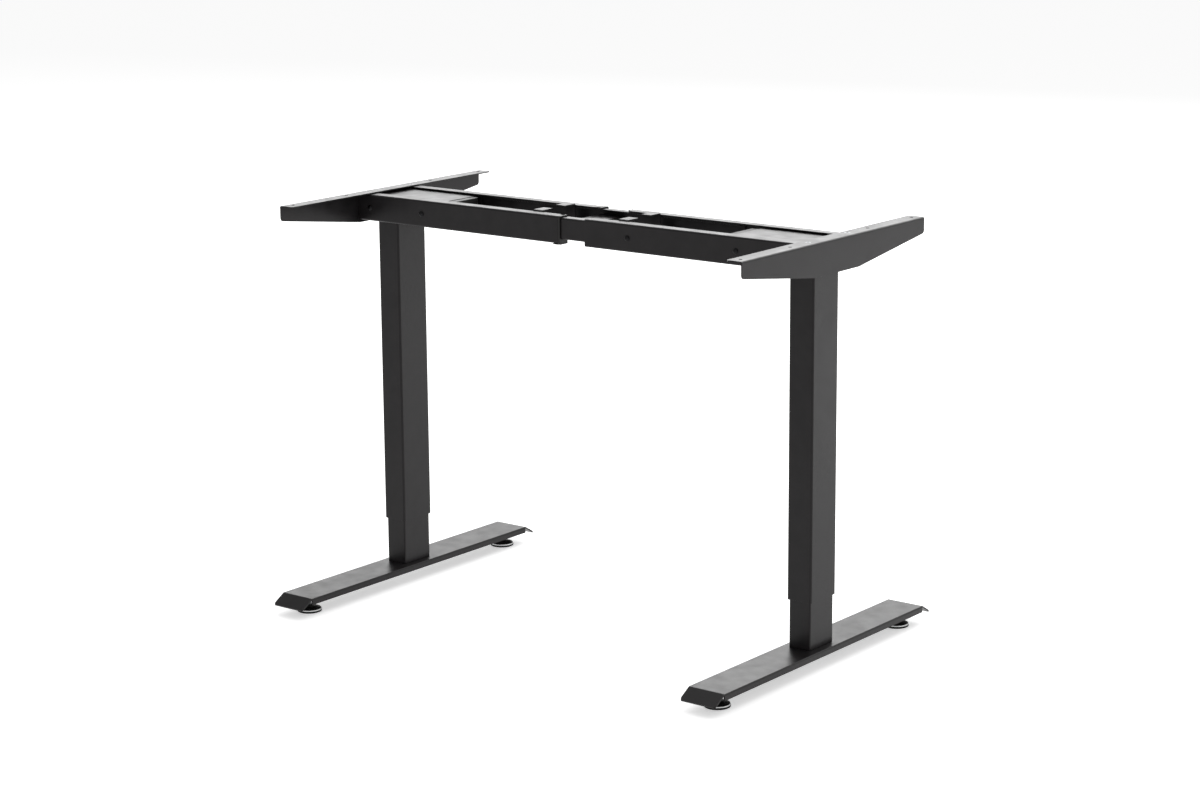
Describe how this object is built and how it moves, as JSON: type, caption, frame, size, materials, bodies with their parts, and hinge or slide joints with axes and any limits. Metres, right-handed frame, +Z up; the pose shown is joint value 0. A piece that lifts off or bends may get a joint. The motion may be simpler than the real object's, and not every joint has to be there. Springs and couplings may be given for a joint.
{
  "type": "height adjustable desk frame",
  "caption": "Height adjustable desk frame with telescopic lifting columns, flat steel feet, width adjustable channel rails and angle brackets that carry a desktop.",
  "frame": {"origin": "on the floor under the middle of the frame: half way between the columns and half way along the feet", "axes": "+X along the rails to the right-hand column, +Y from front to rear along the feet, +Z up"},
  "size_m": [1.072, 0.715, 0.795],
  "materials": {
    "black_powder_coat": "fine satin powder coat on steel",
    "black_plastic": "moulded, satin",
    "zinc_steel": "zinc plated",
    "black_screw": "black oxide",
    "gear_casting": "as cast",
    "white_nylon": "moulded"
  },
  "bodies": {
    "left_base": {"left_foot": "black_powder_coat", "left_inner_column": "black_powder_coat", "left_guide_nut": "white_nylon", "left_front_foot_bolt": "zinc_steel", "left_rear_foot_bolt": "zinc_steel"},
    "left_frame": {"left_outer_column": "black_powder_coat", "left_lower_guide": "white_nylon", "left_leg_mount": "black_powder_coat", "left_motor_cover": "black_plastic", "left_motor": "zinc_steel", "left_gearbox": "gear_casting", "left_side_bracket": "black_powder_coat", "left_tie": "black_powder_coat", "left_front_rail": "black_powder_coat", "left_rear_rail": "black_powder_coat", "left_front_flange_screw": "zinc_steel", "left_rear_flange_screw": "zinc_steel", "left_front_mount_screw_1": "black_screw", "left_front_mount_screw_2": "black_screw", "left_rear_mount_screw_1": "black_screw", "left_rear_mount_screw_2": "black_screw", "front_mouth_insert": "black_plastic", "rear_mouth_insert": "black_plastic"},
    "left_spindle": {"left_spindle": "zinc_steel"},
    "right_frame": {"right_outer_column": "black_powder_coat", "right_lower_guide": "white_nylon", "right_leg_mount": "black_powder_coat", "right_motor_cover": "black_plastic", "right_motor": "zinc_steel", "right_gearbox": "gear_casting", "right_side_bracket": "black_powder_coat", "right_tie": "black_powder_coat", "right_front_rail": "black_powder_coat", "right_rear_rail": "black_powder_coat", "right_front_flange_screw": "zinc_steel", "right_rear_flange_screw": "zinc_steel", "right_front_mount_screw_1": "black_screw", "right_front_mount_screw_2": "black_screw", "right_rear_mount_screw_1": "black_screw", "right_rear_mount_screw_2": "black_screw", "front_slider": "black_powder_coat", "rear_slider": "black_powder_coat", "front_slider_screw": "black_screw", "rear_slider_screw": "black_screw", "centre_tie": "black_powder_coat"},
    "right_spindle": {"right_spindle": "zinc_steel"},
    "right_base": {"right_foot": "black_powder_coat", "right_inner_column": "black_powder_coat", "right_guide_nut": "white_nylon", "right_front_foot_bolt": "zinc_steel", "right_rear_foot_bolt": "zinc_steel"},
    "left_front_glide": {"left_front_glide_stud": "zinc_steel", "left_front_glide_pad": "black_plastic"},
    "left_rear_glide": {"left_rear_glide_stud": "zinc_steel", "left_rear_glide_pad": "black_plastic"},
    "right_front_glide": {"right_front_glide_stud": "zinc_steel", "right_front_glide_pad": "black_plastic"},
    "right_rear_glide": {"right_rear_glide_stud": "zinc_steel", "right_rear_glide_pad": "black_plastic"}
  },
  "joints": [
    {"name": "lift_left", "type": "slide", "parent": "left_base", "child": "left_frame", "axis": [0, 0, 1], "range_m": [-0.078, 0.372]},
    {"name": "width", "type": "slide", "parent": "left_frame", "child": "right_frame", "axis": [1, 0, 0], "range_m": [-0.045, 0.16]},
    {"name": "lift_right", "type": "slide", "parent": "right_frame", "child": "right_base", "axis": [0, 0, -1], "range_m": [-0.078, 0.372]},
    {"name": "spindle_turn_left", "type": "hinge", "parent": "left_frame", "child": "left_spindle", "pos_m": [-0.488, 0, 0.5], "axis": [0, 0, 1], "range_deg": [-2810, 13394]},
    {"name": "spindle_turn_right", "type": "hinge", "parent": "right_frame", "child": "right_spindle", "pos_m": [0.488, 0, 0.5], "axis": [0, 0, 1], "range_deg": [-2810, 13394]},
    {"name": "level_left_front", "type": "slide", "parent": "left_base", "child": "left_front_glide", "axis": [0, 0, -1], "range_m": [-0.004, 0.01]},
    {"name": "level_left_rear", "type": "slide", "parent": "left_base", "child": "left_rear_glide", "axis": [0, 0, -1], "range_m": [-0.004, 0.01]},
    {"name": "level_right_front", "type": "slide", "parent": "right_base", "child": "right_front_glide", "axis": [0, 0, -1], "range_m": [-0.004, 0.01]},
    {"name": "level_right_rear", "type": "slide", "parent": "right_base", "child": "right_rear_glide", "axis": [0, 0, -1], "range_m": [-0.004, 0.01]}
  ],
  "couplings": [
    {"joint": "lift_right", "follows": "lift_left", "ratio": 1},
    {"joint": "spindle_turn_left", "follows": "lift_left", "rad_per_m": 628.32},
    {"joint": "spindle_turn_right", "follows": "lift_left", "rad_per_m": 628.32}
  ]
}
